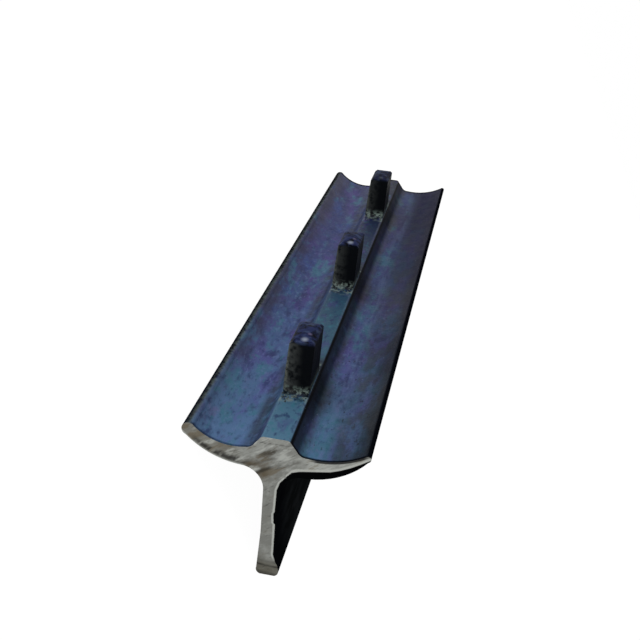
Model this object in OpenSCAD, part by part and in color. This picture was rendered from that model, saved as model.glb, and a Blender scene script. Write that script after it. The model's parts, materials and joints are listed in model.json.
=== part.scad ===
// Studded steel tee section: a short length of hot-rolled bar.
// Millimetres. +Z up from the floor, +Y along the bar to its far end.
//
// The whole bar is one rolled piece. Its section is a dished head with a flat rib down the
// middle, a web below it and a swollen foot. The studs rise from the rib in a row.
//
// The section is drawn upright, studs up. The bar is then laid down as it rests by itself:
// on the tip of its left wing and the left corner of its foot, studs up and towards -X.
// Origin: on the floor, under the middle of the bar's overall box.

/* [Bar] */
// Cut length of the bar
bar_length = 162; // [60:1:600]
// Width of the head over its two tips
head_width = 35; // [30:0.5:45]
// Depth from the line between the tips down to the underside of the foot
bar_depth = 30; // [25:0.5:40]

/* [Head] */
// Depth of the left wing's trough below the line between the tips
left_trough_depth = 2.4; // [1:0.1:4]
// Depth of the right wing's trough, which is the deeper one
right_trough_depth = 2.6; // [1:0.1:4]
// Distance from the middle of the bar to the lowest line of a trough
trough_offset = 7.8; // [6:0.1:10]
// Depth of the left wing's belly below the line between the tips
left_belly_depth = 6.1; // [5:0.1:8]
// Radius of the left wing's belly across the bar
left_belly_radius = 16.5; // [13:0.1:25]
// Depth of the right wing's belly, which is the fuller one
right_belly_depth = 6.8; // [5:0.1:8]
// Radius of the right wing's belly across the bar
right_belly_radius = 15.1; // [13:0.1:25]
// Distance from the middle of the bar to the lowest line of a belly
belly_offset = 5.3; // [3:0.1:7]
// Radius of the left wing's round tip
left_tip = 1.3; // [0.4:0.05:1.4]
// Radius of the right wing's round tip, which is the thinner one
right_tip = 0.6; // [0.4:0.05:1.4]

/* [Rib] */
// Width of the rib at the top of its flanks
rib_width = 5.4; // [4:0.1:7]
// Height of the rib's top above the line between the tips
rib_rise = 0.6; // [0:0.1:2]
// Width of the shallow bevel along each edge of the rib's top
rib_bevel = 0.4; // [0.1:0.05:0.8]
// Slope of the rib's flanks, in degrees from level
rib_slope = 53; // [35:1:70]
// Radius of the hollow between a flank of the rib and a trough
rib_hollow = 2; // [1:0.1:3]

/* [Web] */
// Thickness of the web
web_thickness = 2.8; // [2:0.1:4]
// Distance of the web's middle plane to the left of the head's middle
web_shift = 0.3; // [0:0.05:0.6]
// Radius of the hollow between the web and the head
root_radius = 4.6; // [3:0.1:6]

/* [Foot] */
// Width of the swollen foot
foot_width = 4.4; // [3.6:0.1:6]
// Height over which the foot swells out of the web
foot_swell = 4.6; // [3:0.1:8]
// Radius of the foot's lower corners
foot_corner = 1.15; // [0.8:0.05:2]
// Height of the flat underside above the lowest point of the corner circles
foot_flat_cut = 0.06; // [0.02:0.01:0.2]

/* [Studs] */
// Number of studs in the row
stud_count = 3; // [1:1:12]
// Distance between the middles of two neighbouring studs
stud_pitch = 54; // [40:0.5:80]
// Distance from the near end of the bar to the middle of the first stud
first_stud = 22; // [8:0.5:40]
// Height of a stud above the rib
stud_height = 11.6; // [6:0.1:14]
// Length of a stud along the bar at its base
stud_length = 10; // [7:0.1:14]
// Width of a stud across the bar at its base
stud_width = 5.3; // [3:0.1:5.3]
// Draft of a stud's ends, taken off each end at the top
stud_end_draft = 0.4; // [0.1:0.05:1]
// Draft of a stud's sides, taken off each side at the top
stud_side_draft = 0.2; // [0.05:0.05:0.8]
// Distance by which the top of a stud leans to the right
stud_lean = 0.6; // [0:0.05:0.8]
// Radius of a stud's upright corners
stud_corner = 2.1; // [0.6:0.1:2.4]
// Radius of the crown across the top of a stud
stud_crown = 3.4; // [3:0.1:12]
// Radius of the crown along the top of a stud
stud_long_crown = 18; // [6:0.5:30]
// Height of the flared skirt at a stud's base
stud_skirt = 0.9; // [0.3:0.1:2]
// Spread of that skirt beyond each end of a stud
stud_spread = 0.7; // [0.2:0.1:1.5]

/* [Hidden] */
$fn = 96;
half_head = head_width / 2;
half_rib = rib_width / 2;
half_web = web_thickness / 2;
half_foot = foot_width / 2;
tip_level = bar_depth;
rib_level = bar_depth + rib_rise;
web_left = -web_shift - half_web;
web_right = -web_shift + half_web;
swell_level = foot_corner + foot_swell;
first_y = first_stud - bar_length / 2;

// The disc of a round tip reaches this far below the belly's arc, and a trough's disc this far
// into the tip, so that the arcs cross and don't just touch
tip_bulge = 0.1;
tip_crease = 0.2;
hollow_bite = 0.03;

// Middle of the belly's circle, and of the tip's circle inside it, for one wing
function belly_at(depth, radius) = [belly_offset, tip_level - depth + radius];
function tip_at(depth, radius, tip) = [
    half_head - tip,
    belly_at(depth, radius)[1]
        - sqrt(pow(radius - tip + tip_bulge, 2) - pow(half_head - tip - belly_offset, 2))
];
// Radius of the trough whose circle touches the tip's circle, and the middle of its circle
function trough_size(spot, tip, depth) =
    let (run = spot - [trough_offset, tip_level - depth])
    (run * run - tip * tip) / (2 * (tip + run[1])) + tip_crease;
function trough_at(depth, radius) = [trough_offset, tip_level - depth + radius];

// Upper end of the rib's flank, the way down it and the way straight out of it
flank_top = [half_rib, rib_level - rib_bevel / 2];
flank_way = [cos(rib_slope), -sin(rib_slope)];
flank_out = [sin(rib_slope), cos(rib_slope)];
// Way down the flank to the spot where the hollow's circle touches both it and the trough
function flank_run(depth, radius) =
    let (start = flank_top + rib_hollow * flank_out - trough_at(depth, radius))
    sqrt(pow(start * flank_way, 2) + pow(radius - rib_hollow, 2) - start * start)
        - start * flank_way;

// Middle of the left tip's circle, on the left
left_spot = tip_at(left_belly_depth, left_belly_radius, left_tip);
tip_centre = [-left_spot[0], left_spot[1]];
// Middle of the foot's round left corner
foot_centre = [foot_corner - half_foot, foot_corner - foot_flat_cut];
// Direction from the bar straight down to the floor that touches both, seen in the section
lean = tip_centre - foot_centre;
down_angle = atan2(lean[1], lean[0]) + acos((foot_corner - left_tip) / norm(lean));
// Turn about the bar's length that brings this direction down to -Z
lie_turn = 270 - down_angle;
floor_reach = tip_centre[0] * cos(down_angle) + tip_centre[1] * sin(down_angle) + left_tip;
// Reach of the laid bar to either side: the crown of a stud, and the foot
crown_z = rib_level + stud_height - stud_crown;
stud_reach = stud_lean * cos(lie_turn) - crown_z * sin(lie_turn) - stud_crown;
foot_reach = -foot_centre[0] * cos(lie_turn) - foot_centre[1] * sin(lie_turn) + foot_corner;
middle_reach = (stud_reach + foot_reach) / 2;

// One wing of the head, to the right of the middle, with half of the rib: the belly's disc,
// less the air above it, and the disc of the round tip.
module wing(belly_depth, belly_radius, tip, depth) {
    belly_centre = belly_at(belly_depth, belly_radius);
    spot = tip_at(belly_depth, belly_radius, tip);
    size = trough_size(spot, tip, depth);
    low = tip_level - belly_depth - 1;
    outer = spot + (spot - belly_centre) / 5;
    inner = spot + (trough_at(depth, size) - spot) / 4;
    difference() {
        intersection() {
            translate(belly_centre)
                circle(r = belly_radius);
            polygon([
                [-0.5, low],
                [outer[0], low],
                outer,
                spot,
                inner,
                [half_rib + 0.5, rib_level],
                [-0.5, rib_level]
            ]);
        }
        trough(depth, size);
    }
    translate(spot)
        circle(r = tip);
}

// The air over one wing: the trough's disc, the hollow's disc beside the rib, and the space
// above the rib's bevel and flank.
module trough(depth, size) {
    flank_foot = flank_top + flank_run(depth, size) * flank_way;
    hollow_centre = flank_foot + rib_hollow * flank_out;
    join_x = trough_offset - (trough_offset - hollow_centre[0]) * size / (size - rib_hollow);
    intersection() {
        translate(trough_at(depth, size))
            circle(r = size);
        translate([join_x, 0])
            square([half_head, tip_level + 10]);
    }
    translate(hollow_centre)
        circle(r = rib_hollow + hollow_bite);
    polygon([
        [half_rib - rib_bevel, rib_level + 5],
        [half_rib - rib_bevel, rib_level],
        flank_top,
        flank_foot,
        hollow_centre,
        [hollow_centre[0], rib_level + 5]
    ]);
}

// The block between web and head on one side, hollowed by a disc that meets the web's face.
module root(face, belly_depth) {
    drop = tip_level - belly_depth + 0.05;
    difference() {
        translate([-0.2, drop - root_radius])
            square([face + root_radius + 0.2, root_radius + 1]);
        translate([face + root_radius, drop - root_radius])
            circle(r = root_radius);
    }
}

// The web and the swelling of the foot, in straight lines.
module web() {
    polygon([
        [web_left, tip_level - left_belly_depth + 2],
        [web_left, swell_level + 4],
        [-half_foot + 0.06, foot_corner + 0.35],
        [-half_foot + 0.5, foot_corner - 0.4],
        [half_foot - 0.5, foot_corner - 0.4],
        [half_foot - 0.06, foot_corner + 0.35],
        [web_right, swell_level],
        [web_right, tip_level - left_belly_depth + 2]
    ]);
}

// The two round lower corners of the foot and its flat underside.
module foot() {
    intersection() {
        union() {
            for (side = [-1, 1])
                translate([side * (half_foot - foot_corner), foot_corner - foot_flat_cut])
                    circle(r = foot_corner);
            translate([-half_foot + foot_corner, -1])
                square([foot_width - 2 * foot_corner, foot_corner + 1]);
        }
        translate([-half_foot - 1, 0])
            square([foot_width + 2, foot_corner * 2]);
    }
}

// The bar's whole section, studs up.
module bar_outline() {
    wing(right_belly_depth, right_belly_radius, right_tip, right_trough_depth);
    mirror([1, 0])
        wing(left_belly_depth, left_belly_radius, left_tip, left_trough_depth);
    root(web_right, right_belly_depth);
    mirror([1, 0])
        root(-web_left, left_belly_depth);
    web();
    foot();
}

// A stud seen along the bar: drafted sides that lean to the right, under a round crown.
module stud_front() {
    half = stud_width / 2;
    top = half - stud_side_draft;
    intersection() {
        polygon([
            [-half, -1.5],
            [half, -1.5],
            [half, 0],
            [stud_lean + top, stud_height],
            [stud_lean - top, stud_height],
            [-half, 0]
        ]);
        union() {
            translate([stud_lean, stud_height - stud_crown])
                circle(r = stud_crown);
            translate([-stud_width, -2])
                square([2 * stud_width, 2 + stud_height - stud_crown]);
        }
    }
}

// A stud seen from the side: drafted ends over a short flared skirt, under a flatter crown.
module stud_side() {
    half = stud_length / 2;
    intersection() {
        polygon([
            [-half - stud_spread, -1.5],
            [half + stud_spread, -1.5],
            [half + stud_spread, 0],
            [half, stud_skirt],
            [half - stud_end_draft, stud_height],
            [-half + stud_end_draft, stud_height],
            [-half, stud_skirt],
            [-half - stud_spread, 0]
        ]);
        translate([0, stud_height - stud_long_crown])
            circle(r = stud_long_crown);
    }
}

// A stud seen from above, with round upright corners.
module stud_plan() {
    half = stud_length / 2 + stud_spread;
    inner_x = (stud_width + stud_lean) / 2 + 0.1 - stud_corner;
    inner_y = half - stud_corner;
    translate([stud_lean / 2, 0]) {
        for (side = [-1, 1], end = [-1, 1])
            translate([side * inner_x, end * inner_y])
                circle(r = stud_corner);
        square([2 * inner_x, 2 * half], center = true);
        square([2 * inner_x + 2 * stud_corner, 2 * inner_y], center = true);
    }
}

// One stud, with its root sunk into the rib it was rolled with.
module stud() {
    intersection() {
        rotate([90, 0, 0])
            linear_extrude(height = stud_length * 2, center = true)
                stud_front();
        rotate([90, 0, 90])
            linear_extrude(height = stud_width * 3, center = true)
                stud_side();
        translate([0, 0, -1.2])
            linear_extrude(height = stud_height + 3)
                stud_plan();
    }
}

// The bar with its row of studs, upright: one rolled piece.
module upright_bar() {
    rotate([90, 0, 0])
        linear_extrude(height = bar_length, center = true)
            bar_outline();
    for (n = [0 : stud_count - 1])
        translate([0, first_y + n * stud_pitch, rib_level])
            stud();
}

// The bar laid down on its left tip and foot.
module tee_section() {
    color([0.36, 0.40, 0.50])
        translate([-middle_reach, 0, floor_reach])
            rotate([0, -lie_turn, 0])
                upright_bar();
}

tee_section();
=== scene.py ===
"""Looks of a short length of hot-rolled studded steel tee.

The CAD bar keeps its own mesh and gets its finish here: blue heat-tinted mill scale on the
head, near-black studs and a dark underside, both partly painted shade, painted light and shade
on the studs and the rib, and bare grey cut ends with a painted highlight along one edge. The
rough flash grains on the rib at the foot of each stud are a new piece.
"""

import json
import logging
import math
from dataclasses import dataclass, field
from enum import Enum

import bpy
from mathutils import Matrix, Vector


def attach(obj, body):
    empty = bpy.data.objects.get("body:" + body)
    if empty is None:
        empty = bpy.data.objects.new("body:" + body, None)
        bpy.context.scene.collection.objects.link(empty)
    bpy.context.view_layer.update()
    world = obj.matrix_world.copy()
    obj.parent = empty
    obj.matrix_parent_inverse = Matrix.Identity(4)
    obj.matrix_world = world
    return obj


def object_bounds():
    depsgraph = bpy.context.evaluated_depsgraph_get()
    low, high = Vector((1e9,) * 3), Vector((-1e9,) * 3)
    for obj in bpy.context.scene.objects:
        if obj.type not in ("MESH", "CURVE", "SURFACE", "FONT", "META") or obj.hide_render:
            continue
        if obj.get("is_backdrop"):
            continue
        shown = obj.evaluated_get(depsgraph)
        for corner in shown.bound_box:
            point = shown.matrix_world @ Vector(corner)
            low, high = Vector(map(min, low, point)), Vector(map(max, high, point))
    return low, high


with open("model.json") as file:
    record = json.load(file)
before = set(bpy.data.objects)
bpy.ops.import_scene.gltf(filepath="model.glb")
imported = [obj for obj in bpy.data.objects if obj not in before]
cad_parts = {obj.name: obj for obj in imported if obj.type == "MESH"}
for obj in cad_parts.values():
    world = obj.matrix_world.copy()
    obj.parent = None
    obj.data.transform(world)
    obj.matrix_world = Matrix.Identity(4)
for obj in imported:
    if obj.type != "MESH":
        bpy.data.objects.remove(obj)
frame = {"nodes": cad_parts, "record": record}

logging.basicConfig(level=logging.INFO, format="%(message)s")
log = logging.getLogger("tee")

MM = 0.001
IMAGE_SIDE = 640
NODE = "tee_section"

Colour = tuple[float, float, float, float]
Socket = bpy.types.NodeSocket
Span = tuple[float, float]
Strip = tuple[float, float, float]
Triple = tuple[float, float, float]

WHITE: Colour = (1.0, 1.0, 1.0, 1.0)


def linear(code: str) -> Colour:
    """Turns an sRGB hex code into linear light.

    Args:
        code: six hex digits, such as "5a6c92".

    Returns:
        Red, green, blue and an alpha of one.
    """
    parts = [int(code[i:i + 2], 16) / 255 for i in (0, 2, 4)]
    lit = [p / 12.92 if p <= 0.04045 else ((p + 0.055) / 1.055) ** 2.4 for p in parts]
    return (lit[0], lit[1], lit[2], 1.0)


def add(tree: bpy.types.NodeTree, kind: str, links: dict | None = None, **settings) -> bpy.types.Node:
    """Adds one node to a tree.

    Args:
        tree: the shader or geometry tree.
        kind: the node's type name.
        links: input name or number to an output socket, or to a plain value.
        settings: the node's own properties.

    Returns:
        The new node.
    """
    node = tree.nodes.new(kind)
    for name, value in settings.items():
        setattr(node, name, value)
    for name, value in (links or {}).items():
        if isinstance(value, Socket):
            tree.links.new(value, node.inputs[name])
        else:
            node.inputs[name].default_value = value
    return node


@dataclass(frozen=True)
class LaidBar:
    """How the upright section lies on the floor, read from the record's foot mount.

    Args:
        turn: turn about the bar's length, in radians.
        shift: where the foot's middle line lies, in metres.
    """

    turn: float
    shift: Vector

    @classmethod
    def from_record(cls, record: dict) -> "LaidBar":
        """Reads the turn and the shift from the foot's mount.

        Args:
            record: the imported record.

        Returns:
            The bar's lie.
        """
        foot = next(m for m in record["mounts"] if m["name"] == "foot")
        return cls(math.atan2(foot["axis"][0], -foot["axis"][2]), Vector(foot["pos_m"]))

    def matrix(self) -> Matrix:
        """The matrix from the upright bar's frame to the stored frame."""
        return Matrix.Translation(self.shift) @ Matrix.Rotation(-self.turn, 4, "Y")

    def point(self, x: float, y: float, z: float) -> Vector:
        """A point given in millimetres on the upright bar, in stored metres."""
        return self.matrix() @ Vector((x * MM, y * MM, z * MM))

    def way(self, x: float, y: float, z: float) -> Vector:
        """A direction given on the upright bar, in the stored frame."""
        return self.matrix().to_3x3() @ Vector((x, y, z)).normalized()


@dataclass(frozen=True)
class PhotoCamera:
    """The photograph's camera, given on the upright bar.

    Args:
        place: where it stands, in millimetres.
        right: the picture's rightward direction.
        ahead: the direction that it looks in.
        focal_px: focal length in pixels of the 640 pixel picture.
        sensor_mm: width of its sensor.
        clip: nearest and farthest distance that it sees, in metres.
    """

    place: Triple = (30.0, -233.48, 128.47)
    right: Triple = (0.9794, 0.18787, 0.07403)
    ahead: Triple = (-0.13885, 0.89272, -0.42868)
    focal_px: float = 1018.9
    sensor_mm: float = 36.0
    clip: Span = (0.01, 20.0)

    def build(self, lie: LaidBar) -> bpy.types.Object:
        """Makes the camera and sets it as the scene's.

        Args:
            lie: how the bar lies.

        Returns:
            The camera.
        """
        data = bpy.data.cameras.new("photo_camera")
        data.sensor_width = self.sensor_mm
        data.lens = self.sensor_mm * self.focal_px / IMAGE_SIDE
        data.clip_start, data.clip_end = self.clip
        camera = bpy.data.objects.new("photo_camera", data)
        bpy.context.scene.collection.objects.link(camera)
        ahead = lie.way(*self.ahead)
        right = lie.way(*self.right)
        right = (right - ahead * right.dot(ahead)).normalized()
        above = right.cross(ahead)
        turned = Matrix((right, above, -ahead)).transposed().to_4x4()
        camera.matrix_world = Matrix.Translation(lie.point(*self.place)) @ turned
        bpy.context.scene.camera = camera
        return camera


@dataclass(frozen=True)
class Section:
    """The upright section's measures in millimetres, for painting by place.

    Args:
        rib_level: height of the rib's top.
        half_rib: half the width of the rib's top.
        belly_offset: distance from the middle to the lowest line of a belly.
        left_belly: lowest height and radius of the left belly.
        trough_offset: distance from the middle to the lowest line of a trough.
        right_trough: lowest height and radius of the right trough.
        root_level: height at which the web's roots begin.
        stud_pitch: distance between two studs.
        first_stud: place of the first stud along the bar.
        stud_count: number of studs.
        stud_half: half the length of a stud with its skirt.
        stud_top: height of the top of a stud.
    """

    rib_level: float = 30.6
    half_rib: float = 2.7
    belly_offset: float = 5.3
    left_belly: Span = (23.9, 16.5)
    trough_offset: float = 7.8
    right_trough: Span = (27.4, 16.66)
    root_level: float = 22.9
    stud_pitch: float = 54.0
    first_stud: float = -59.0
    stud_count: int = 3
    stud_half: float = 5.7
    stud_top: float = 42.2

    def stud_places(self) -> list[float]:
        """Where the middle of each stud is along the bar."""
        return [self.first_stud + n * self.stud_pitch for n in range(self.stud_count)]


class Zone(Enum):
    """A part of the bar's surface with a look of its own."""

    RIB = "rib"
    STUD = "stud"
    BELOW = "below"
    CUT = "cut"


@dataclass(frozen=True)
class Pattern:
    """A noise on the steel.

    Args:
        size: size of a lump in millimetres.
        detail: number of finer layers.
        shift: moves the pattern, so that two of one size differ.
        stretch: scale across, along and up. Less than one draws the lumps out.
        tilt: turn about the bar's length before the stretch, in radians.
    """

    size: float
    detail: float = 3.0
    shift: float = 0.0
    stretch: Triple = (1.0, 1.0, 1.0)
    tilt: float = 0.0


ALONG_HEAD: Triple = (1.0, 0.4, 1.0)
ALONG_RIB: Triple = (1.0, 0.5, 1.0)
SHEAR_TILT = 0.6


class Grain(Enum):
    """The steel's patterns: heat tint and wear on the scale, shear marks on the cut ends."""

    CLOUD = Pattern(4.2, 4.0, 0.0, ALONG_HEAD)
    PATCH = Pattern(5.0, 3.0, 31.0, ALONG_HEAD)
    STREAK = Pattern(2.4, 3.0, 57.0, (1.0, 0.12, 1.0))
    MOTTLE = Pattern(1.5, 5.0, 11.0, ALONG_HEAD)
    BLUSH = Pattern(2.4, 4.0, 5.5, ALONG_HEAD)
    FLECK = Pattern(0.8, 3.0, 63.0, ALONG_HEAD)
    PITS = Pattern(0.9, 2.0, 77.0, ALONG_HEAD)
    SPECK = Pattern(0.8, 3.0, 91.0)
    WORN = Pattern(2.6, 5.0, 43.0, (1.0, 0.25, 1.0))
    RIB_MOTTLE = Pattern(1.3, 5.0, 71.0, ALONG_RIB)
    RIB_PATCH = Pattern(2.8, 4.0, 45.0, ALONG_RIB)
    RIB_HOLLOW = Pattern(2.6, 3.0, 67.0)
    RIB_RAG = Pattern(1.6, 4.0, 37.0, ALONG_RIB)
    FLASH_GRIT = Pattern(1.5, 3.0, 5.0)
    FLASH_RAG = Pattern(1.1, 3.0, 19.0)
    STUD_GRIT = Pattern(0.8, 3.0, 3.0)
    STUD_WEAR = Pattern(1.4, 3.0, 23.0)
    STUD_MURK = Pattern(2.2, 2.0, 14.0)
    SMEAR = Pattern(1.5, 4.0, 13.0, (0.28, 1.0, 1.0), SHEAR_TILT)
    SCRATCH = Pattern(0.5, 3.0, 29.0, (0.22, 1.0, 1.0), SHEAR_TILT)
    TEAR = Pattern(1.7, 2.0, 97.0, (0.4, 1.0, 1.0), 0.75)
    BLOT = Pattern(3.2, 3.0, 41.0)
    POLISH = Pattern(3.0, 3.0, 83.0)
    SCALE_RELIEF = Pattern(0.7, 4.0, 37.0)
    SHEAR_RELIEF = Pattern(0.45, 3.0, 61.0, (0.15, 1.0, 1.0), SHEAR_TILT)


class Tint(Enum):
    """The steel's colours as sRGB hex codes, named for the part or the mark that they show."""

    # Heat-tinted oxide of the head and the rib, and the painted shade on the rib's right flank
    TEAL = "2f6474"
    SILVER = "5a6f96"
    FAR_BLUE = "2c3f78"
    NEAR_VIOLET = "4a5088"
    BLUSH = "5e4c7c"
    VIOLET = "38306a"
    DEEP = "141e48"
    FAR_DARK = "14142c"
    LEFT_STRIP = "292540"
    RIGHT_TEAL = "1c4c5c"
    RIGHT_BROWN = "2e2733"
    RIGHT_DARK = "0e141f"
    TROUGH = "171f30"
    FLANK_SHADE = "15171e"
    EDGE = "06070b"
    SPECK = "8794a6"
    # Near-black studs and underside, partly dark scale and partly painted shade, with the studs' painted lit
    # left side, their crowns and glints, and the flash at the studs' feet
    STUD = "0b0d10"
    STUD_WORN = "0f1113"
    LIT_STUD_FACE = "474a49"
    LIT_STUD_RIM = "676b64"
    CROWN = "242b4c"
    FAR_CROWN = "14151f"
    CROWN_GREY = "3a4660"
    GLINT = "9aa2b0"
    DIM_GLINT = "7c7290"
    FLASH = "6c7a74"
    GRAIN_BLACK = "1d2225"
    GRAIN_GREY = "56605e"
    BELOW = "1f2224"
    BELOW_LIGHT = "383c40"
    UNDER_SHADE = "0a0b0b"
    # Bare metal of the cut ends
    GREY = "7f807b"
    LIGHT_GREY = "979994"
    PALE = "c2c5bf"
    WARM = "6d6453"
    ROOT_BROWN = "574d3c"
    FOOT_BROWN = "47422f"
    BROWN = "2e2a21"
    DARK = "201f1c"
    BLACK = "060708"


@dataclass(frozen=True)
class Coat:
    """One thin coat of colour, laid where a pattern and the place on the bar ask for it.

    A span goes from where the coat starts to where it is full, so it may run either way. A
    strip is a low limit, a high limit and how softly both end. Places are in millimetres.

    Args:
        colour: the coat's colour.
        share: how much of it shows where it is full.
        grain: the pattern that it follows.
        edge: span of the pattern's value.
        rag: how far the pattern moves the limits in millimetres. With it, edge isn't used.
        across: span across the bar.
        along: span along the bar.
        outside: how much of the coat is left outside the span along the bar.
        way: span along the bar from the middle of the nearest stud.
        up: span of the height.
        strip: strip across the bar.
        layer: strip of the height.
    """

    colour: Tint
    share: float = 1.0
    grain: Grain | None = None
    edge: Span = (0.5, 0.6)
    rag: float = 0.0
    across: Span | None = None
    along: Span | None = None
    outside: float = 0.0
    way: Span | None = None
    up: Span | None = None
    strip: Strip | None = None
    layer: Strip | None = None


@dataclass(frozen=True)
class Glint:
    """A spot of light on a stud's crown.

    Args:
        across: its place across the bar.
        way: its place along the bar from the middle of the stud.
        size: its size in millimetres.
        share: how bright it is.
        colour: its colour.
    """

    across: float
    way: float
    size: float
    share: float
    colour: Tint


@dataclass(frozen=True)
class Stroke:
    """A slanting stroke on the cut end, in millimetres.

    Args:
        low: height of its lower border, where it crosses the middle of the bar.
        high: height of its upper border there.
        start: its left end across the bar.
        stop: its right end.
        share: how dark it is.
    """

    low: float
    high: float
    start: float
    stop: float
    share: float


@dataclass(frozen=True)
class Rims:
    """Where the head's black rims start and are full, in millimetres.

    Args:
        left: across the left wing's tip.
        right: across the right wing's tip.
        far: distance from the far end.
        near: distance from the near end, off the rib.
        left_wing: across the left wing, from the rib outwards.
        right_wing: across the right wing, from the rib outwards.
        left_share: how much of the near end's rim shows on the left wing.
        share: how much of the rims shows.
    """

    left: Span = (-15.7, -16.4)
    right: Span = (16.4, 16.9)
    far: Span = (1.3, 0.7)
    near: Span = (0.9, 0.35)
    left_wing: Span = (-3.0, -3.6)
    right_wing: Span = (2.6, 3.2)
    left_share: float = 0.6
    share: float = 0.95


@dataclass(frozen=True)
class MillScale:
    """Hot-rolled steel as it leaves the rolls: oxide scale tinted by heat.

    The thin oxide film gives teal blue at the near end and goes over violet to near black towards
    the far end. The studs and the underside are near black, partly thick black scale and partly
    painted shade; the underside is painted darker still as shade towards the near end. The film is
    an oxide and hides most of the metal, so the bar looks satin and hardly mirrors.

    Args:
        name: the material's name.
        head: colours along the head, from the near to the far end.
        rib: colours along the rib's top.
        stops: where these colours are, as shares of the length.
        glints: spots of light on the crown.
        rims: the head's black rims.
        under_shade_span: where along the bar the painted shade of the underside starts and is full.
        head_coats: coats over the head's own colours.
        flank_coat: the painted shade on the rib's dark right flank.
        shade_coat: the studs' shade on that flank.
        rib_coats: coats over the rib's own colours.
        flash_coats: rough metal round a stud's foot.
        stud_coats: painted light on the studs' left rim and the left part of their front, with rough grain.
        under_coats: the painted shade that darkens the underside towards the near end.
        shine: specular level of the open scale, of its dull parts and of the bare underside.
        metal: metallic share of the open scale.
        rough: lowest and highest roughness, on the cut ends too.
        relief: depth of the scale's and the shear's grain in millimetres.
        relief_share: how strongly that depth shows.
    """

    name: str = "hot_rolled_steel_mill_scale"
    head: tuple[str, ...] = ("48668a", "3a5078", "2b3866", "282f5e", "1e2248")
    rib: tuple[str, ...] = ("456880", "2a4a5e", "1b2e46", "161d34", "0f1222")
    stops: tuple[float, ...] = (0.0, 0.28, 0.52, 0.78, 1.0)
    glints: tuple[Glint, ...] = (
        Glint(0.8, -3.5, 0.75, 0.6, Tint.GLINT), Glint(1.4, -1.4, 0.5, 0.4, Tint.DIM_GLINT),
    )
    rims: Rims = Rims()
    under_shade_span: Span = (20.0, -35.0)
    head_coats: tuple[Coat, ...] = (
        # Violet, blue and blush patches
        Coat(Tint.VIOLET, 0.9, Grain.PATCH, (0.46, 0.66), along=(-90.0, -30.0)),
        Coat(Tint.FAR_BLUE, 0.7, Grain.PATCH, (0.46, 0.34), along=(-60.0, -10.0)),
        Coat(Tint.NEAR_VIOLET, 0.6, Grain.PATCH, (0.46, 0.66), along=(-20.0, -60.0)),
        Coat(Tint.BLUSH, 0.45, Grain.BLUSH, (0.56, 0.72), along=(-20.0, -60.0)),
        # Clouds of thin and thick film, finer and finer
        Coat(Tint.TEAL, 0.7, Grain.CLOUD, (0.50, 0.68)),
        Coat(Tint.DEEP, 0.75, Grain.CLOUD, (0.46, 0.32)),
        Coat(Tint.DEEP, 0.4, Grain.STREAK, (0.56, 0.80)),
        Coat(Tint.DEEP, 0.65, Grain.MOTTLE, (0.52, 0.74)),
        Coat(Tint.TEAL, 0.6, Grain.MOTTLE, (0.45, 0.28), along=(40.0, -40.0), outside=0.35),
        Coat(Tint.SILVER, 0.4, Grain.FLECK, (0.54, 0.70), along=(40.0, -40.0), outside=0.35),
        Coat(Tint.DEEP, 0.4, Grain.FLECK, (0.44, 0.30)),
        # The right wing: a lighter streaked strip, then darker than the left wing towards its tip
        Coat(Tint.SILVER, 0.45, Grain.STREAK, (0.44, 0.60), strip=(7.5, 10.0, 1.5)),
        Coat(Tint.RIGHT_TEAL, 0.5, Grain.PATCH, (0.50, 0.40), across=(8.0, 12.0)),
        Coat(Tint.RIGHT_BROWN, 0.6, Grain.CLOUD, (0.46, 0.60), across=(8.0, 12.0)),
        Coat(Tint.RIGHT_DARK, 0.45, across=(5.0, 13.5)),
        Coat(Tint.EDGE, 0.85, Grain.STREAK, rag=3.0, across=(14.5, 18.0)),
        # Pits on the right, and the left wing's dark outer strip
        Coat(Tint.EDGE, 0.7, Grain.PITS, (0.64, 0.72), across=(-4.0, 8.0)),
        Coat(Tint.LEFT_STRIP, 0.75, Grain.CLOUD, (0.60, 0.44), across=(-11.5, -15.0), along=(-66.0, -40.0)),
        Coat(Tint.TROUGH, 0.35, across=(-13.0, -15.6)),
    )
    flank_coat: Coat = Coat(Tint.FLANK_SHADE, 0.88, Grain.RIB_RAG, rag=2.8, across=(8.4, 4.8))
    shade_coat: Coat = Coat(Tint.EDGE, 0.6, Grain.RIB_RAG, rag=2.8, across=(10.0, 5.0))
    rib_coats: tuple[Coat, ...] = (
        Coat(Tint.VIOLET, 0.5, Grain.RIB_PATCH, (0.50, 0.66)),
        Coat(Tint.DEEP, 0.7, Grain.RIB_MOTTLE, (0.52, 0.68)),
        Coat(Tint.TEAL, 0.6, Grain.RIB_MOTTLE, (0.46, 0.32)),
    )
    flash_coats: tuple[Coat, ...] = (
        Coat(Tint.EDGE, 0.7, Grain.FLASH_GRIT, (0.50, 0.36)),
        Coat(Tint.FLASH, 0.8, Grain.FLASH_GRIT, (0.47, 0.60)),
    )
    stud_coats: tuple[Coat, ...] = (
        # Painted light on the left part of the stud's front, with rough grain
        Coat(
            Tint.LIT_STUD_FACE, 0.8, Grain.STUD_WEAR, (0.30, 0.58), across=(1.2, -1.9), along=(10.0, -50.0),
            outside=0.5, way=(-3.2, -4.6),
        ),
        # Painted light on the stud's left rim, with rough grain
        Coat(
            Tint.LIT_STUD_RIM, 0.8, Grain.STUD_GRIT, (0.34, 0.56), across=(-1.5, -2.2), along=(10.0, -50.0),
            outside=0.5,
        ),
    )
    under_coats: tuple[Coat, ...] = (
        # Painted shade on the underside towards the near end, darker still at the very end
        Coat(Tint.UNDER_SHADE, 0.75, along=under_shade_span),
        Coat(Tint.EDGE, 0.8, along=(-66.0, -79.0)),
    )
    shine: Triple = (0.1, 0.01, 0.3)
    metal: float = 0.12
    rough: Span = (0.38, 0.62)
    relief: float = 0.12
    relief_share: float = 0.5


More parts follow.
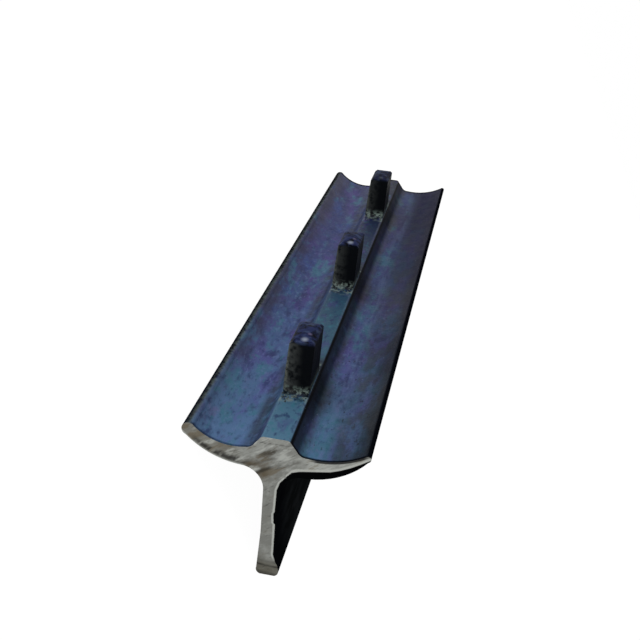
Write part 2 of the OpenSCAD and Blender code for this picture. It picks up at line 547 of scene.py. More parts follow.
@dataclass(frozen=True)
class CutSteel:
    """The bare end left by the shear: grey, smeared along the cut, brown where it was hot.

    Args:
        ground_coats: smears over the whole end.
        root_coat: brown smear in the left root.
        rib_coat: dark smears below the rib.
        torn_coat: dark torn marks on the left wing.
        torn_rim: pale rim below them.
        foot_line: the dark line across the foot.
        foot_coats: dirt above and below that line.
        strokes: the brown slanting strokes.
        slope: how steeply they rise across the bar.
        right_edge: the lower boundary of the clean grey under the right wing, as points
            across and up. Beyond it the end is black.
        web_edge: the right boundary of the clean grey in the web, as points up and across.
        shine: specular level of the grey metal.
        metal: metallic share of the grey metal.
    """

    ground_coats: tuple[Coat, ...] = (
        Coat(Tint.PALE, 0.75, Grain.SMEAR, (0.36, 0.56), strip=(5.5, 14.5, 2.0)),
        Coat(Tint.WARM, 0.3, across=(-5.0, -9.0)),
        Coat(Tint.FOOT_BROWN, 0.65, up=(5.0, 2.0)),
        Coat(Tint.WARM, 0.8, Grain.SMEAR, (0.50, 0.62)),
        Coat(Tint.PALE, 0.6, Grain.SMEAR, (0.46, 0.34)),
        Coat(Tint.DARK, 0.55, Grain.SCRATCH, (0.56, 0.72)),
    )
    root_coat: Coat = Coat(
        Tint.ROOT_BROWN, 0.8, Grain.SMEAR, (0.36, 0.54), strip=(-5.5, -1.0, 1.0), layer=(21.4, 25.2, 1.2),
    )
    rib_coat: Coat = Coat(
        Tint.DARK, 0.6, Grain.SMEAR, (0.46, 0.60), strip=(-3.5, 3.5, 1.5), layer=(26.4, 28.6, 0.9),
    )
    torn_coat: Coat = Coat(
        Tint.DARK, 0.92, Grain.TEAR, (0.62, 0.47), across=(-2.6, -3.6), strip=(-15.0, -4.5, 1.5),
    )
    torn_rim: Coat = Coat(Tint.PALE, 0.6, across=(-2.6, -3.6))
    foot_line: Coat = Coat(Tint.DARK, 1.0, Grain.BLOT, rag=1.0, layer=(2.5, 2.9, 0.25))
    foot_coats: tuple[Coat, ...] = (
        Coat(Tint.DARK, 0.4, Grain.BLOT, rag=1.0, layer=(3.6, 4.0, 0.4)),
        Coat(Tint.DARK, 0.6, Grain.BLOT, rag=1.0, up=(1.5, 0.8)),
    )
    strokes: tuple[Stroke, ...] = (
        Stroke(24.9, 25.6, -4.6, -0.4, 0.85), Stroke(27.0, 27.3, -5.5, 0.5, 0.5),
        Stroke(24.6, 25.0, 0.8, 5.0, 0.45), Stroke(28.6, 28.9, -1.0, 2.6, 0.5),
    )
    slope: float = 0.5
    right_edge: tuple[Span, ...] = (
        (1.4, 21.5), (2.45, 22.9), (3.4, 24.0), (4.8, 24.5), (7.6, 25.0), (10.4, 25.5),
        (12.2, 26.2), (14.0, 27.1), (15.75, 28.2), (17.5, 29.4),
    )
    web_edge: tuple[Span, ...] = (
        (0.0, 2.3), (2.4, 2.0), (3.4, 1.4), (5.0, 0.95), (12.0, 0.92), (12.3, 0.62),
        (14.4, 0.52), (14.8, 0.72), (17.5, 0.78), (19.8, 0.85), (21.5, 1.4), (22.9, 2.45),
    )
    shine: float = 0.2
    metal: float = 0.15


@dataclass
class Painter:
    """Short names for the shader nodes that the finishes are made of.

    Args:
        tree: the tree that the nodes go into.
    """

    tree: bpy.types.NodeTree

    def math(self, operation: str, *values: object) -> Socket:
        """One Math node's result."""
        node = add(self.tree, "ShaderNodeMath", dict(enumerate(values)), operation=operation)
        return node.outputs[0]

    def step(self, value: object, low: float, high: float) -> Socket:
        """A smooth step from zero at low to one at high. With low above high it falls."""
        ends = (low, high, 0.0, 1.0) if low < high else (high, low, 1.0, 0.0)
        node = add(
            self.tree, "ShaderNodeMapRange",
            {"Value": value, "From Min": ends[0], "From Max": ends[1], "To Min": ends[2], "To Max": ends[3]},
            interpolation_type="SMOOTHSTEP",
        )
        return node.outputs["Result"]

    def band(self, value: object, low: float, high: float, soft: float) -> Socket:
        """One between low and high, falling to zero over soft on either side."""
        rise = self.step(value, low - soft, low + soft)
        return self.math("MULTIPLY", rise, self.step(value, high + soft, high - soft))

    def both(self, *shares: object) -> Socket:
        """The product of several shares."""
        whole = shares[0]
        for share in shares[1:]:
            whole = self.math("MULTIPLY", whole, share)
        return whole

    def most(self, *shares: object) -> Socket:
        """The largest of several shares."""
        whole = shares[0]
        for share in shares[1:]:
            whole = self.math("MAXIMUM", whole, share)
        return whole

    def mix(self, share: object, first: object, second: object) -> Socket:
        """A mix of two colours, each a tint by name or a socket."""
        ends = [linear(c.value) if isinstance(c, Tint) else c for c in (first, second)]
        node = add(self.tree, "ShaderNodeMix", {0: share, 6: ends[0], 7: ends[1]}, data_type="RGBA")
        return node.outputs[2]

    def over(self, colour: Socket, coat: Tint, *shares: object) -> Socket:
        """A coat of one colour over another, as far as all the shares let it show."""
        return self.mix(self.both(*shares), colour, coat)

    def blend(self, share: object, first: object, second: object) -> Socket:
        """A mix of two plain values."""
        node = add(self.tree, "ShaderNodeMix", {0: share, 2: first, 3: second}, data_type="FLOAT")
        return node.outputs[0]

    def ramp(self, share: object, stops: tuple[float, ...], codes: tuple[str, ...]) -> Socket:
        """Colours in a row, each at its stop."""
        node = add(self.tree, "ShaderNodeValToRGB", {0: share})
        marks = node.color_ramp.elements
        while len(marks) < len(stops):
            marks.new(1.0)
        for mark, stop, code in zip(marks, stops, codes):
            mark.position = stop
            mark.color = linear(code)
        return node.outputs[0]

    def noise(self, where: object, pattern: Pattern) -> Socket:
        """A noise drawn after a pattern.

        Args:
            where: coordinates in millimetres.
            pattern: its size, detail, shift and stretch.

        Returns:
            A value of about a half, with both signs of swing.
        """
        turned = add(self.tree, "ShaderNodeMapping", {"Vector": where, "Rotation": (0.0, pattern.tilt, 0.0)})
        drawn = add(self.tree, "ShaderNodeMapping", {"Vector": turned.outputs[0], "Scale": pattern.stretch})
        moved = add(
            self.tree, "ShaderNodeVectorMath",
            {0: drawn.outputs[0], 1: (pattern.shift,) * 3}, operation="ADD",
        )
        node = add(
            self.tree, "ShaderNodeTexNoise",
            {"Vector": moved.outputs[0], "Scale": 1.0 / pattern.size, "Detail": pattern.detail,
             "Roughness": 0.6},
        )
        return node.outputs["Fac"]

    def curve(self, value: object, points: tuple[Span, ...]) -> Socket:
        """The height of a drawn line over a value.

        Args:
            value: the place across, in millimetres.
            points: the line's points, from left to right.

        Returns:
            The line's height in millimetres.
        """
        left, right = points[0][0], points[-1][0]
        low, high = min(p[1] for p in points), max(p[1] for p in points)
        share = add(
            self.tree, "ShaderNodeMapRange",
            {"Value": value, "From Min": left, "From Max": right, "To Min": 0.0, "To Max": 1.0},
        ).outputs["Result"]
        node = add(self.tree, "ShaderNodeFloatCurve", {1: share})
        line = node.mapping.curves[0].points
        while len(line) < len(points):
            line.new(0.5, 0.5)
        for mark, (across, height) in zip(line, points):
            mark.location = ((across - left) / (right - left), (height - low) / (high - low))
            mark.handle_type = "VECTOR"
        node.mapping.update()
        return self.math("MULTIPLY_ADD", node.outputs[0], high - low, low)


@dataclass
class TeeFinish:
    """Builds the one material of the rolled bar.

    Args:
        scale: the colours of the rolled faces.
        cut: the colours of the cut ends.
        form: the upright section's measures.
        lie: how the bar lies, to bring Object coordinates back to the upright section.
        half_bar: half the bar's length in millimetres.
    """

    scale: MillScale
    cut: CutSteel
    form: Section
    lie: LaidBar
    half_bar: float
    paint: Painter = field(init=False)
    where: Socket = field(init=False)
    x: Socket = field(init=False)
    y: Socket = field(init=False)
    z: Socket = field(init=False)
    way: Socket = field(init=False)
    made: dict[Grain, Socket] = field(init=False, default_factory=dict)

    def find_place(self) -> None:
        """Brings Object coordinates back to millimetres on the upright bar."""
        tree = self.paint.tree
        back = self.lie.matrix().inverted()
        place = add(tree, "ShaderNodeTexCoord").outputs["Object"]
        self.where = add(
            tree, "ShaderNodeMapping",
            {"Vector": place, "Location": back.to_translation() / MM,
             "Rotation": back.to_euler(), "Scale": (1 / MM,) * 3},
        ).outputs[0]
        self.x, self.y, self.z = add(tree, "ShaderNodeSeparateXYZ", {0: self.where}).outputs
        self.way = self.stud_way()

    def grain(self, kind: Grain) -> Socket:
        """A pattern's value on the bar, whose nodes are made once."""
        if kind not in self.made:
            self.made[kind] = self.paint.noise(self.where, kind.value)
        return self.made[kind]

    def lay(self, colour: Socket, coats: tuple[Coat, ...], *within: object) -> Socket:
        """Lays coats one over the other.

        Args:
            colour: the colour below.
            coats: the coats, the lowest first.
            within: shares that hold for each of them.

        Returns:
            The colour with the coats over it.
        """
        paint = self.paint
        for coat in coats:
            shares: list[object] = [*within, coat.share]
            if coat.grain and not coat.rag:
                shares.append(paint.step(self.grain(coat.grain), *coat.edge))
            if coat.along:
                shares.append(paint.blend(paint.step(self.y, *coat.along), coat.outside, 1.0))
            if coat.way:
                shares.append(paint.step(self.way, *coat.way))
            limits = (
                (paint.step, self.x, coat.across), (paint.step, self.z, coat.up),
                (paint.band, self.x, coat.strip), (paint.band, self.z, coat.layer),
            )
            for mask, place, values in limits:
                if values:
                    moved = self.ragged(place, coat.grain, coat.rag) if coat.rag else place
                    shares.append(mask(moved, *values))
            colour = paint.over(colour, coat.colour, *shares)
        return colour

    def ragged(self, place: Socket, kind: Grain, reach: float) -> Socket:
        """A place in millimetres that a pattern moves by up to its reach."""
        return self.paint.math("MULTIPLY_ADD", self.grain(kind), reach, place)

    def masks(self) -> dict[Zone, Socket]:
        """Shares of one for each zone of the surface, later zones lying over earlier ones."""
        paint, form = self.paint, self.form
        side = paint.math("ABSOLUTE", self.x)
        up = add(
            paint.tree, "ShaderNodeMapping",
            {"Vector": add(paint.tree, "ShaderNodeTexCoord").outputs["Normal"],
             "Rotation": self.lie.matrix().inverted().to_euler()},
            vector_type="VECTOR",
        ).outputs[0]
        rise = add(paint.tree, "ShaderNodeSeparateXYZ", {0: up}).outputs[2]
        far = paint.math("ABSOLUTE", self.y)
        return {
            Zone.RIB: paint.step(side, form.half_rib + 0.1, form.half_rib - 0.15),
            Zone.STUD: paint.step(self.z, form.rib_level + 0.15, form.rib_level + 0.7),
            Zone.BELOW: paint.most(paint.step(rise, -0.02, -0.2), paint.step(self.z, 25.2, 24.6)),
            Zone.CUT: paint.step(far, self.half_bar - 0.05, self.half_bar - 0.01),
        }

    def lengthwise(self, codes: tuple[str, ...]) -> Socket:
        """Colours in a row from the near end to the far one."""
        share = self.paint.math("MULTIPLY_ADD", self.y, 0.5 / self.half_bar, 0.5)
        return self.paint.ramp(share, self.scale.stops, codes)

    def head(self) -> Socket:
        """The dished head: blue at the near end, violet and darker towards the far end."""
        paint, look = self.paint, self.scale
        colour = self.lay(self.lengthwise(look.head), look.head_coats)
        far = paint.step(self.y, -self.half_bar, self.half_bar)
        return paint.over(colour, Tint.FAR_DARK, far, paint.step(self.x, 2.0, 12.0), 0.82)

    def outline(self) -> Socket:
        """The share of the black rims: both wings' tips, the far end and the near end's edge."""
        paint, rims = self.paint, self.scale.rims
        tips = [paint.step(self.x, *span) for span in (rims.left, rims.right)]
        far = paint.step(self.y, *(self.half_bar - off for off in rims.far))
        near = paint.step(self.y, *(off - self.half_bar for off in rims.near))
        left_wing = paint.both(paint.step(self.x, *rims.left_wing), rims.left_share)
        off_rib = paint.math("ADD", left_wing, paint.step(self.x, *rims.right_wing))
        return paint.most(*tips, far, paint.both(near, off_rib))

    def stud_way(self) -> Socket:
        """Distance along the bar from the middle of the nearest stud, with its sign."""
        paint, form = self.paint, self.form
        whole = paint.math("SUBTRACT", self.y, form.first_stud - 1.5 * form.stud_pitch)
        part = paint.math("FLOORED_MODULO", whole, form.stud_pitch)
        return paint.math("SUBTRACT", part, form.stud_pitch / 2)

    def flash_area(self) -> Socket:
        """One round a stud's foot, falling to zero with a ragged border."""
        off = self.paint.math("ABSOLUTE", self.way)
        border = self.form.stud_half + 1.6
        return self.paint.step(self.ragged(off, Grain.FLASH_RAG, 3.2), border + 4.0, border + 1.4)

    def rib_side(self, head: Socket) -> Socket:
        """The hollow on the rib's left, the painted shade on its right flank with a black line along its top
        edge, and the studs' painted shade on that flank.

        Args:
            head: the head's colour, which these are laid over.

        Returns:
            The colour with the rib's sides in it.
        """
        paint, look, form = self.paint, self.scale, self.form
        hollow = paint.band(self.x, -6.0, -form.half_rib, 0.9)
        uneven = paint.step(self.grain(Grain.RIB_HOLLOW), 0.20, 0.60)
        colour = paint.over(head, Tint.TROUGH, hollow, uneven, 0.75)
        off_top = paint.step(self.x, form.half_rib - 0.2, form.half_rib + 0.1)
        # Painted shade on the rib's right flank
        colour = self.lay(colour, (look.flank_coat,), off_top)
        beside = paint.step(paint.math("ABSOLUTE", self.way), 13.0, 3.0)
        colour = self.lay(colour, (look.shade_coat,), off_top, beside)
        # Painted shade: a black line along the rib's right top edge
        return paint.over(colour, Tint.EDGE, paint.band(self.x, form.half_rib + 0.02, 3.2, 0.2))

    def rib(self, head: Socket, on_rib: Socket) -> Socket:
        """The rib's top and sides and the rough flash before and behind each stud.

        Args:
            head: the head's colour, which the rib's is laid over.
            on_rib: the share of the rib's top.

        Returns:
            The colour with the rib in it.
        """
        paint, look = self.paint, self.scale
        top = self.lay(self.lengthwise(look.rib), look.rib_coats)
        # Painted shadow on the right half of the rib's top behind each stud
        behind = paint.both(paint.step(self.way, 4.0, 5.0), paint.step(self.way, 15.0, 8.0))
        top = paint.over(top, Tint.EDGE, behind, paint.step(self.x, -0.5, 1.5), 0.85)
        colour = paint.mix(on_rib, self.rib_side(head), top)
        colour = self.lay(colour, look.flash_coats, self.flash_area(), on_rib)
        # Painted shade in the crease round each stud's foot, broken up by the grit
        foot = paint.both(paint.band(paint.math("ABSOLUTE", self.way), 4.6, 5.8, 0.3), on_rib)
        return paint.over(colour, Tint.EDGE, foot, paint.step(self.grain(Grain.FLASH_GRIT), 0.62, 0.48), 0.9)

    def stud(self) -> Socket:
        """Near-black studs, partly dark scale and partly painted shade, with painted light on the left rim
        and the front's left part, a rough front and a blue crown with glints.
        """
        paint, look, form = self.paint, self.scale, self.form
        grit, wear = self.grain(Grain.STUD_GRIT), self.grain(Grain.STUD_WEAR)
        # Painted shade: the studs' near-black sides, partly their dark scale, mottled at random
        colour = paint.mix(paint.step(wear, 0.55, 0.75), Tint.STUD, Tint.STUD_WORN)
        # Painted light on the left rim and the left part of the front, with rough grain
        colour = self.lay(colour, look.stud_coats)
        lower = paint.step(self.z, form.rib_level + 8.0, form.rib_level + 1.0)
        foot = paint.both(lower, paint.step(self.z, form.rib_level + 2.4, form.rib_level + 0.6))
        colour = paint.over(colour, Tint.FLASH, foot, paint.step(grit, 0.44, 0.6), 0.8)
        return self.crown(colour)

    def crown(self, colour: Socket) -> Socket:
        """The top of the studs, with its glints.

        Args:
            colour: the studs' colour.

        Returns:
            The colour with the crowns in it.
        """
        paint, look, form = self.paint, self.scale, self.form
        on_top = paint.step(self.z, form.stud_top - 1.3, form.stud_top - 0.5)
        crowned = paint.mix(paint.step(self.grain(Grain.STUD_WEAR), 0.40, 0.66), Tint.CROWN, Tint.EDGE)
        crowned = paint.over(crowned, Tint.FAR_CROWN, paint.step(self.y, -20.0, 60.0), 0.7)
        colour = paint.mix(on_top, colour, crowned)
        murk = self.grain(Grain.STUD_MURK)
        colour = paint.over(colour, Tint.CROWN_GREY, on_top, paint.step(murk, 0.50, 0.62), 0.6)
        nearer = paint.both(on_top, paint.step(self.y, 60.0, 10.0))
        for glint in look.glints:
            off = paint.math("SUBTRACT", self.x, glint.across)
            ahead = paint.math("SUBTRACT", self.way, glint.way)
            far = paint.math("MULTIPLY_ADD", off, off, paint.math("MULTIPLY", ahead, ahead))
            far = paint.math("MULTIPLY_ADD", murk, 0.5 * glint.size, paint.math("SQRT", far))
            spot = paint.step(far, 1.6 * glint.size, 0.3 * glint.size)
            colour = paint.over(colour, glint.colour, nearer, spot, glint.share)
        return colour

    def arc(self, offset: float, low: float, radius: float) -> Socket:
        """Height of the lower side of one of the section's circles.

        Args:
            offset: place of the circle's middle across the bar.
            low: height of its lowest point.
            radius: its radius.

        Returns:
            The height in millimetres.
        """
        paint = self.paint
        off = paint.math("SUBTRACT", self.x, offset)
        inside = paint.math("SUBTRACT", radius * radius, paint.math("MULTIPLY", off, off))
        return paint.math("SUBTRACT", low + radius, paint.math("SQRT", inside))

    def torn_wing(self, colour: Socket) -> Socket:
        """The left wing of the cut end, torn along its lower edge above a pale rim.

        Args:
            colour: the end's colour.

        Returns:
            The colour with the torn marks in it.
        """
        paint, look, form = self.paint, self.cut, self.form
        rise = paint.math("SUBTRACT", self.z, self.arc(-form.belly_offset, *form.left_belly))
        low_edge = paint.band(self.ragged(rise, Grain.BLOT, 1.4), 0.9, 2.1, 0.55)
        colour = self.lay(colour, (look.torn_coat,), low_edge)
        return self.lay(colour, (look.torn_rim,), paint.step(rise, 0.40, 0.10))

    def root_marks(self, colour: Socket) -> Socket:
        """Smears and slanting strokes in the roots, and the dark lines along the head.

        Args:
            colour: the end's colour.

        Returns:
            The colour with these marks in it.
        """
        paint, look, form = self.paint, self.cut, self.form
        colour = self.lay(colour, (look.root_coat,))
        slant = self.ragged(paint.math("MULTIPLY_ADD", self.x, -look.slope, self.z), Grain.BLOT, 1.4)
        for stroke in look.strokes:
            thick = paint.band(slant, stroke.low, stroke.high, 0.3)
            long = paint.band(self.x, stroke.start, stroke.stop, 0.8)
            colour = paint.over(colour, Tint.BROWN, thick, long, stroke.share)
        colour = self.lay(colour, (look.rib_coat,))
        under = paint.math("SUBTRACT", self.arc(form.trough_offset, *form.right_trough), self.z)
        shut = paint.both(paint.step(under, 0.48, 0.30), paint.band(self.x, 7.0, 17.0, 1.0))
        colour = paint.over(colour, Tint.BLACK, shut, 0.95)
        lip = paint.band(self.ragged(self.z, Grain.BLOT, 0.9), 29.85, 30.1, 0.2)
        lip = paint.both(lip, paint.band(self.x, -2.4, 2.6, 0.5))
        return paint.over(colour, Tint.DARK, lip, paint.step(self.grain(Grain.SCRATCH), 0.40, 0.54), 0.6)

    def foot_line(self, colour: Socket) -> Socket:
        """The dark line across the foot, and the dirt below it.

        Args:
            colour: the end's colour.

        Returns:
            The colour with the line in it.
        """
        paint, look = self.paint, self.cut
        darker_ends = paint.blend(paint.step(paint.math("ABSOLUTE", self.x), 0.4, 1.6), 0.6, 0.95)
        colour = self.lay(colour, (look.foot_line,), darker_ends)
        return self.lay(colour, look.foot_coats)

    def end(self) -> tuple[Socket, Socket]:
        """The sheared end: streaks along the cut, torn marks over a pale rim, a painted highlight as a pale
        rim along the black right strip, and that strip.

        Returns:
            The end's colour, and the share of the black strip.
        """
        paint, look, form = self.paint, self.cut, self.form
        # The smears are calmer in the web than in the head
        calm = paint.both(paint.step(self.z, 22.5, 20.0), 0.65)
        self.made[Grain.SMEAR] = paint.blend(calm, self.grain(Grain.SMEAR), 0.48)
        colour = paint.mix(paint.step(self.grain(Grain.BLOT), 0.40, 0.66), Tint.GREY, Tint.LIGHT_GREY)
        colour = self.lay(colour, look.ground_coats)
        colour = self.foot_line(self.root_marks(self.torn_wing(colour)))
        # Black beyond the clean grey on the right, with a painted highlight as a pale rim between
        over = paint.math("SUBTRACT", self.z, paint.curve(self.x, look.right_edge))
        past = paint.math("SUBTRACT", self.x, paint.curve(self.z, look.web_edge))
        past = self.ragged(past, Grain.SCRATCH, 0.16)
        in_wing = paint.step(self.x, 2.2, 2.5)
        in_web = paint.step(self.z, form.root_level, form.root_level - 0.4)
        colour = paint.over(colour, Tint.PALE, paint.step(over, 0.75, 0.35), in_wing, 0.8)
        web_rim = paint.both(paint.band(past, -0.30, 0.10, 0.1), in_web, paint.step(self.z, 3.0, 5.0))
        colour = paint.over(colour, Tint.PALE, web_rim, 0.8)
        strip = paint.most(
            paint.both(paint.step(over, 0.12, -0.05), in_wing),
            paint.both(paint.step(past, 0.06, 0.14), in_web),
        )
        return paint.mix(strip, colour, Tint.BLACK), strip

    def build(self) -> bpy.types.Material:
        """Makes the material.

        Returns:
            The material.
        """
        look = self.scale
        material = bpy.data.materials.new(look.name)
        material.use_nodes = True
        tree = material.node_tree
        tree.nodes.clear()
        self.paint = paint = Painter(tree)
        self.find_place()
        zones = self.masks()
        below, on_cut = zones[Zone.BELOW], zones[Zone.CUT]

        colour = self.rib(self.head(), zones[Zone.RIB])
        colour = paint.over(colour, Tint.SPECK, paint.step(self.grain(Grain.SPECK), 0.70, 0.78), 0.45)
        rim = self.outline()
        colour = paint.over(colour, Tint.EDGE, rim, look.rims.share)
        colour = paint.mix(zones[Zone.STUD], colour, self.stud())
        under = paint.mix(paint.step(self.grain(Grain.WORN), 0.40, 0.66), Tint.BELOW, Tint.BELOW_LIGHT)
        colour = paint.mix(below, colour, self.lay(under, look.under_coats))
        cut, strip = self.end()
        colour = paint.mix(on_cut, colour, cut)

        # The rims, the rib's right flank and the far right wing are dull too
        flank = paint.both(paint.step(self.x, 2.5, 2.9), paint.step(self.x, 5.6, 4.0))
        far_wing = paint.both(paint.step(self.y, -30.0, 60.0), paint.step(self.x, 4.0, 12.0), 0.9)
        dull = paint.most(zones[Zone.STUD], below, rim, flank, far_wing)
        open_shine, dull_shine, below_shine = look.shine
        shine = paint.blend(rim, paint.blend(dull, open_shine, dull_shine), 0.0)
        # The painted shade of the underside's near part also takes its shine away
        under_shade_share = paint.step(self.y, *look.under_shade_span)
        shine = paint.blend(below, shine, paint.blend(under_shade_share, below_shine, 0.0))
        shine = paint.blend(on_cut, shine, paint.blend(strip, self.cut.shine, 0.0))
        scale_metal = paint.blend(dull, look.metal, 0.0)
        metal = paint.blend(on_cut, scale_metal, paint.blend(strip, self.cut.metal, 0.0))
        relief = paint.blend(on_cut, self.grain(Grain.SCALE_RELIEF), self.grain(Grain.SHEAR_RELIEF))
        bump = add(
            tree, "ShaderNodeBump",
            {"Height": relief, "Strength": look.relief_share, "Distance": look.relief * MM},
        )
        shader = add(
            tree, "ShaderNodeBsdfPrincipled",
            {"Base Color": colour, "Normal": bump.outputs[0], "Metallic": metal,
             "Roughness": paint.blend(self.grain(Grain.POLISH), *look.rough), "Specular IOR Level": shine},
        )
        add(tree, "ShaderNodeOutputMaterial", {"Surface": shader.outputs[0]})
        return material


@dataclass(frozen=True)
class BrokenScale:
    """Grains of broken mill scale and flash: dull, from black to grey, with no metal showing.

    Args:
        name: the material's name.
        tones: the darker and the lighter colour.
        pattern: how the two are spread.
        edge: span of the pattern's value from one to the other.
        rough: roughness.
        shine: specular level.
    """

    name: str = "broken_scale_grains"
    tones: tuple[Tint, Tint] = (Tint.GRAIN_BLACK, Tint.GRAIN_GREY)
    pattern: Pattern = Pattern(0.5, 1.0)
    edge: Span = (0.40, 0.62)
    rough: float = 0.7
    shine: float = 0.2

    def build(self) -> bpy.types.Material:
        """Makes the material.

        Returns:
            The material.
        """
        material = bpy.data.materials.new(self.name)
        material.use_nodes = True
        tree = material.node_tree
        tree.nodes.clear()
        paint = Painter(tree)
        place = add(tree, "ShaderNodeTexCoord").outputs["Object"]
        fine = add(tree, "ShaderNodeMapping", {"Vector": place, "Scale": (1 / MM,) * 3}).outputs[0]
        colour = paint.mix(paint.step(paint.noise(fine, self.pattern), *self.edge), *self.tones)
        shader = add(
            tree, "ShaderNodeBsdfPrincipled",
            {"Base Color": colour, "Metallic": 0.0, "Roughness": self.rough,
             "Specular IOR Level": self.shine},
        )
        add(tree, "ShaderNodeOutputMaterial", {"Surface": shader.outputs[0]})
        return material


@dataclass
class FlashGrains:
    """Rough grains of scale and flash on the rib at the foot of each stud.

    The studs are pressed out of pockets in the roll, and the scale breaks up round their feet.
    A Geometry Nodes tree strews faceted grains over small patches of the rib.

    Args:
        form: the upright section's measures.
        lie: how the bar lies.
        look: the grains' finish.
        reach: how far the grains go along the rib, in millimetres.
        close_share: share of that reach in which they lie denser.
        margin: bare strip along each side of the rib's top.
        overlap: how far the patches go under the studs' skirts.
        grain: size of a grain, in millimetres.
        flattest: smallest scale of a grain on its three axes.
        fullest: largest scale.
        turn: largest turn of a grain, in radians.
        density: grains on a square millimetre.
        seed: seed of the strewing.
    """

    form: Section
    lie: LaidBar
    look: BrokenScale
    reach: float = 3.0
    close_share: float = 0.4
    margin: float = 0.35
    overlap: float = 0.5
    grain: float = 0.45
    flattest: Triple = (0.25, 0.25, 0.15)
    fullest: Triple = (0.75, 0.6, 0.4)
    turn: float = 3.1
    density: float = 1.5
    seed: int = 7

    def patches(self) -> bpy.types.Object:
        """Makes the patches that the grains are strewn over, denser close to a stud."""
        form = self.form
        corners: list[Vector] = []
        faces: list[tuple[int, ...]] = []
        half = form.half_rib - self.margin
        for middle in form.stud_places():
            for way in (-1, 1):
                for reach in (self.reach * self.close_share, self.reach):
                    start = middle + way * (form.stud_half - self.overlap)
                    stop = middle + way * (form.stud_half + reach)
                    first = len(corners)
                    spots = ((-half, start), (half, start), (half, stop), (-half, stop))
                    corners += [self.lie.point(x, y, form.rib_level) for x, y in spots]
                    faces.append(tuple(range(first, first + 4)))
        mesh = bpy.data.meshes.new("flash_patches")
        mesh.from_pydata(corners, [], faces)
        patches = bpy.data.objects.new("flash_patches", mesh)
        bpy.context.scene.collection.objects.link(patches)
        return patches

    def tree(self) -> tuple[bpy.types.NodeTree, dict[str, str]]:
        """Builds the strewing tree.

        Returns:
            The tree, and its inputs' identifiers by name.
        """
        tree = bpy.data.node_groups.new("strew_grains", "GeometryNodeTree")
        face = tree.interface
        face.new_socket("Geometry", in_out="INPUT", socket_type="NodeSocketGeometry")
        face.new_socket("Geometry", in_out="OUTPUT", socket_type="NodeSocketGeometry")
        kinds = {"Density": "Float", "Grain": "Float", "Seed": "Int", "Finish": "Material"}
        names = {}
        for name, kind in kinds.items():
            made = face.new_socket(name, in_out="INPUT", socket_type=f"NodeSocket{kind}")
            names[name] = made.identifier
        given = add(tree, "NodeGroupInput").outputs
        spread = add(
            tree, "GeometryNodeDistributePointsOnFaces",
            {"Mesh": given["Geometry"], "Density": given["Density"], "Seed": given["Seed"]},
        )
        ball = add(tree, "GeometryNodeMeshIcoSphere", {"Radius": given["Grain"], "Subdivisions": 1})
        size = add(
            tree, "FunctionNodeRandomValue",
            {"Min": self.flattest, "Max": self.fullest, "Seed": given["Seed"]},
            data_type="FLOAT_VECTOR",
        )
        turn = add(
            tree, "FunctionNodeRandomValue",
            {"Min": (-self.turn,) * 3, "Max": (self.turn,) * 3, "Seed": given["Seed"]},
            data_type="FLOAT_VECTOR",
        )
        strewn = add(
            tree, "GeometryNodeInstanceOnPoints",
            {"Points": spread.outputs["Points"], "Instance": ball.outputs["Mesh"],
             "Rotation": turn.outputs["Value"], "Scale": size.outputs["Value"]},
        )
        real = add(tree, "GeometryNodeRealizeInstances", {"Geometry": strewn.outputs[0]})
        dressed = add(
            tree, "GeometryNodeSetMaterial",
            {"Geometry": real.outputs[0], "Material": given["Finish"]},
        )
        add(tree, "NodeGroupOutput", {"Geometry": dressed.outputs[0]})
        return tree, names

    def build(self) -> bpy.types.Object:
        """Strews the grains and turns them into a plain mesh that rides on the bar.

        Returns:
            The grains.
        """
        patches = self.patches()
        finish = self.look.build()
        tree, names = self.tree()
        strew = patches.modifiers.new("strew", "NODES")
        strew.node_group = tree
        strew[names["Density"]] = self.density / MM ** 2
        strew[names["Grain"]] = self.grain * MM
        strew[names["Seed"]] = self.seed
        strew[names["Finish"]] = finish
        graph = bpy.context.evaluated_depsgraph_get()
        mesh = bpy.data.meshes.new_from_object(patches.evaluated_get(graph))
        patches.modifiers.remove(strew)
        bpy.data.objects.remove(patches)
        mesh.name = "flash_grains"
        if not mesh.materials:
            mesh.materials.append(finish)
        grains = bpy.data.objects.new("flash_grains", mesh)
        bpy.context.scene.collection.objects.link(grains)
        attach(grains, "root")
        log.info("flash grains: %d faces", len(mesh.polygons))
        return grains


@dataclass(frozen=True)
class PaleFloor:
    """A matt pale floor that reads as pure white where it is open and keeps the soft shadow.

    Args:
        name: the material's name.
        grey: how much light it gives back.
        glow: strength of the white that the camera sees instead of most of that light.
        shadow_share: how much of the lit floor the camera still sees.
    """

    name: str = "pale_floor"
    grey: Colour = (0.8, 0.8, 0.8, 1.0)
    glow: float = 1.12
    shadow_share: float = 0.13


@dataclass(frozen=True)
class Lamp:
    """One square soft lamp.

    Args:
        name: the lamp's name.
        way: direction from the bar to the lamp, given on the upright bar.
        side: its side in metres.
        power: its power in watts.
    """

    name: str
    way: Triple
    side: float
    power: float


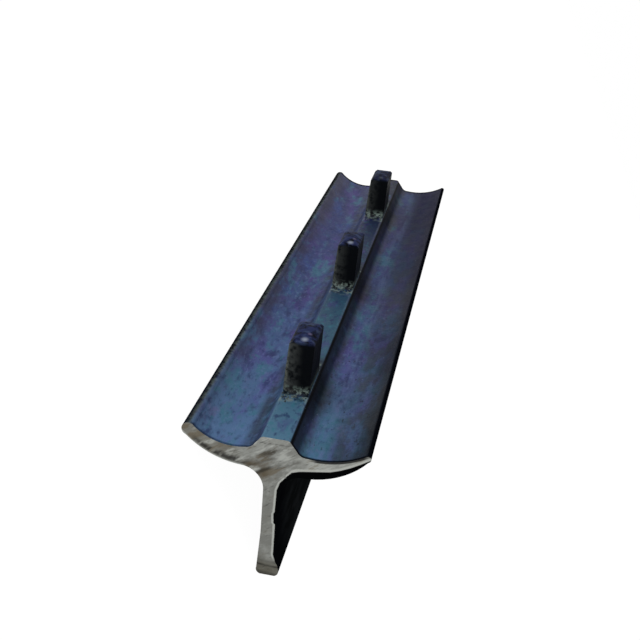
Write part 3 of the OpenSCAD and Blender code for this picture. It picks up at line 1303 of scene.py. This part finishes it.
@dataclass
class Studio:
    """Pale floor, white surroundings and soft lamps.

    Args:
        lie: how the bar lies, so that the lamps can be placed about the upright bar.
        ground: the floor's finish.
        floor_side: side of the floor in metres.
        sky: strength of the surroundings as a light.
        aim: the point that the lamps face, on the upright bar.
        distance: how far the lamps are from it, in metres.
        lamps: the lamps.
    """

    lie: LaidBar
    ground: PaleFloor = PaleFloor()
    floor_side: float = 12.0
    sky: float = 0.42
    aim: Triple = (0.0, 0.0, 25.0)
    distance: float = 0.9
    lamps: tuple[Lamp, ...] = (
        Lamp("key", (-0.3, -0.15, 1.0), 0.45, 4.4), Lamp("fill", (0.1, -1.0, 0.45), 0.5, 1.9),
    )

    def floor(self) -> bpy.types.Object:
        """Makes the floor."""
        half = self.floor_side / 2
        mesh = bpy.data.meshes.new("floor")
        corners = [(-half, -half, 0), (half, -half, 0), (half, half, 0), (-half, half, 0)]
        mesh.from_pydata(corners, [], [(0, 1, 2, 3)])
        floor = bpy.data.objects.new("floor", mesh)
        bpy.context.scene.collection.objects.link(floor)
        material = bpy.data.materials.new(self.ground.name)
        material.use_nodes = True
        tree = material.node_tree
        tree.nodes.clear()
        lit = add(tree, "ShaderNodeBsdfDiffuse", {"Color": self.ground.grey})
        white = add(tree, "ShaderNodeEmission", {"Color": WHITE, "Strength": self.ground.glow})
        share = Painter(tree).both(self.seen(tree), 1.0 - self.ground.shadow_share)
        mixed = add(tree, "ShaderNodeMixShader", {0: share, 1: lit.outputs[0], 2: white.outputs[0]})
        add(tree, "ShaderNodeOutputMaterial", {"Surface": mixed.outputs[0]})
        mesh.materials.append(material)
        floor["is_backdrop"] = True
        return floor

    def seen(self, tree: bpy.types.NodeTree) -> Socket:
        """One for what the camera sees, also in a reflection or through glass, and zero for light."""
        rays = add(tree, "ShaderNodeLightPath").outputs
        return Painter(tree).most(*(rays[f"Is {kind} Ray"] for kind in ("Camera", "Glossy", "Transmission")))

    def surroundings(self) -> None:
        """Makes the world white to the eye and softly grey as a light."""
        world = bpy.data.worlds.new("studio")
        bpy.context.scene.world = world
        world.use_nodes = True
        tree = world.node_tree
        tree.nodes.clear()
        strength = add(
            tree, "ShaderNodeMapRange",
            {"Value": self.seen(tree), "From Min": 0.0, "From Max": 1.0, "To Min": self.sky, "To Max": 1.0},
        ).outputs[0]
        background = add(tree, "ShaderNodeBackground", {"Color": WHITE, "Strength": strength})
        add(tree, "ShaderNodeOutputWorld", {"Surface": background.outputs[0]})

    def hang(self, lamp: Lamp) -> None:
        """Hangs one lamp, facing the bar."""
        aim = self.lie.point(*self.aim)
        data = bpy.data.lights.new(lamp.name, "AREA")
        data.shape = "SQUARE"
        data.size = lamp.side
        data.energy = lamp.power
        hung = bpy.data.objects.new(lamp.name, data)
        bpy.context.scene.collection.objects.link(hung)
        hung.location = aim + self.lie.way(*lamp.way) * self.distance
        hung.rotation_mode = "QUATERNION"
        hung.rotation_quaternion = (aim - hung.location).to_track_quat("-Z", "Y")

    def build(self) -> None:
        """Makes the floor, the surroundings and the lamps."""
        self.floor()
        self.surroundings()
        for lamp in self.lamps:
            self.hang(lamp)


def main() -> None:
    """Builds the scene and reports each piece."""
    low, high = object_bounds()
    bpy.context.scene.view_settings.view_transform = "Standard"
    lie = LaidBar.from_record(frame["record"])
    form = Section()
    PhotoCamera().build(lie)
    Studio(lie).build()
    bar = frame["nodes"][NODE]
    half_bar = (high.y - low.y) / 2 / MM
    finish = TeeFinish(MillScale(), CutSteel(), form, lie, half_bar).build()
    for place in bar.material_slots:
        place.material = finish
    log.info("%s dressed in %s", bar.name, finish.name)
    FlashGrains(form, lie, BrokenScale()).build()


if __name__ == "__main__":
    main()
